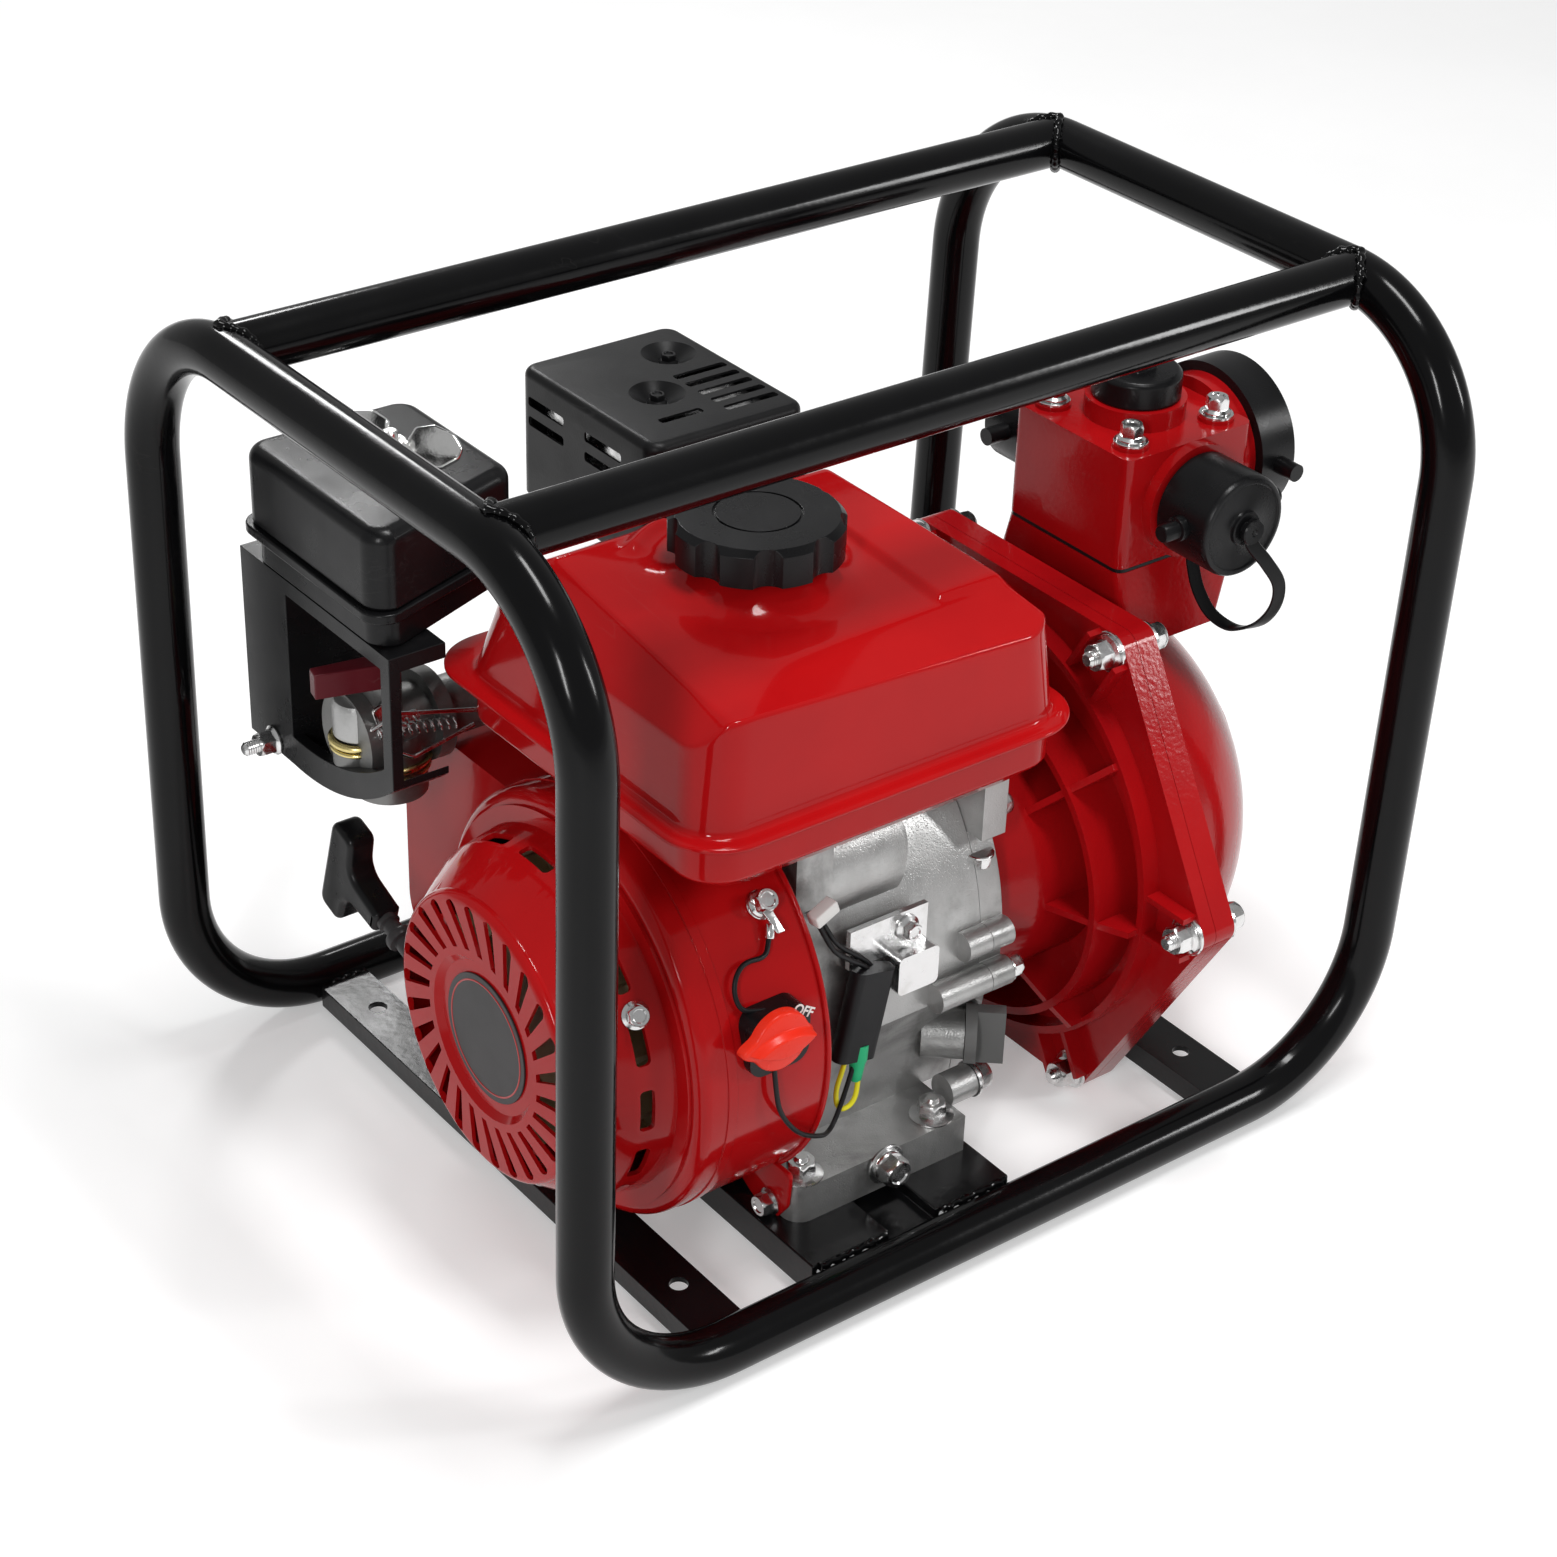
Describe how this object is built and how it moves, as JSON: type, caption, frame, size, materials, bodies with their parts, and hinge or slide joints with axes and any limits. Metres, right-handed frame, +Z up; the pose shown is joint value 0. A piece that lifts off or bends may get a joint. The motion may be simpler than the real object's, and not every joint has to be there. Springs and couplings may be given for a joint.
{
  "type": "petrol engine-driven self-priming centrifugal pump set",
  "caption": "Self-priming centrifugal water pump bolted to a small four-stroke engine, in a bent tube carrying frame, with a three-way discharge block.",
  "frame": {"origin": "on the floor, at the middle of the overall box", "axes": "+X along the crankshaft from the recoil starter to the pump, +Y from the switch side to the cylinder side, +Z up"},
  "size_m": [0.5164, 0.3848, 0.428],
  "materials": {
    "black_plastic": "moulded, fine grain",
    "black_rubber": "moulded",
    "black_steel": "satin heat-proof black",
    "cast_aluminium": "as-cast, blasted",
    "cream_plastic": "moulded nylon",
    "frame_black": "gloss black enamel",
    "grey_plastic": "moulded",
    "red_casting": "gloss red enamel on a casting",
    "red_paint": "gloss red enamel on pressed steel",
    "red_plastic": "moulded",
    "zinc_steel": "bright zinc plate"
  },
  "bodies": {
    "root": {"air_cleaner_base": "black_plastic", "air_cleaner_cover": "black_plastic", "air_elbow": "black_plastic", "back_top_rail": "frame_black", "bottom_back_tube": "frame_black", "bottom_front_tube": "frame_black", "carburettor": "cast_aluminium", "connector_sleeve": "black_rubber", "crankcase": "cast_aluminium", "crankcase_side_cover": "cast_aluminium", "cylinder": "cast_aluminium", "cylinder_head": "cast_aluminium", "dipstick_cap": "grey_plastic", "discharge_block": "red_casting", "discharge_gasket": "black_rubber", "engine_mount_plate": "frame_black", "fan_housing": "red_paint", "front_outlet_cap": "black_plastic", "front_top_rail": "frame_black", "fuel_cap": "black_plastic", "fuel_tank_lower": "red_paint", "fuel_tank_upper": "red_paint", "left_cross_plate": "frame_black", "left_end_hoop": "frame_black", "main_outlet_cap": "black_plastic", "muffler": "zinc_steel", "muffler_guard": "black_steel", "oil_sensor": "cast_aluminium", "priming_plug": "black_plastic", "pump_adapter": "red_casting", "pump_casing": "red_casting", "rear_outlet_cap": "black_plastic", "recoil_badge": "black_plastic", "recoil_cover": "red_paint", "right_cross_plate": "frame_black", "right_end_hoop": "frame_black", "starter_handle": "black_plastic", "suction_flange": "red_casting", "switch_leads": "black_rubber", "switch_plate": "black_plastic", "valve_cover": "zinc_steel", "wing_nut": "zinc_steel"},
    "crank_fan": {"flywheel_fan": "cream_plastic"},
    "switch": {"switch_knob": "red_plastic"},
    "choke": {"choke_lever": "zinc_steel"}
  },
  "joints": [
    {"name": "fan_spin", "type": "hinge", "parent": "root", "child": "crank_fan", "pos_m": [-0.16, -0.0517, 0.128], "axis": [1, 0, 0], "continuous": true},
    {"name": "switch_turn", "type": "hinge", "parent": "root", "child": "switch", "pos_m": [-0.1305, -0.1648, 0.1595], "axis": [0, -1, 0], "range_deg": [0, 60]},
    {"name": "choke_turn", "type": "hinge", "parent": "root", "child": "choke", "pos_m": [-0.19, 0.06, 0.2615], "axis": [0, 0, -1], "range_deg": [0, 35]}
  ]
}
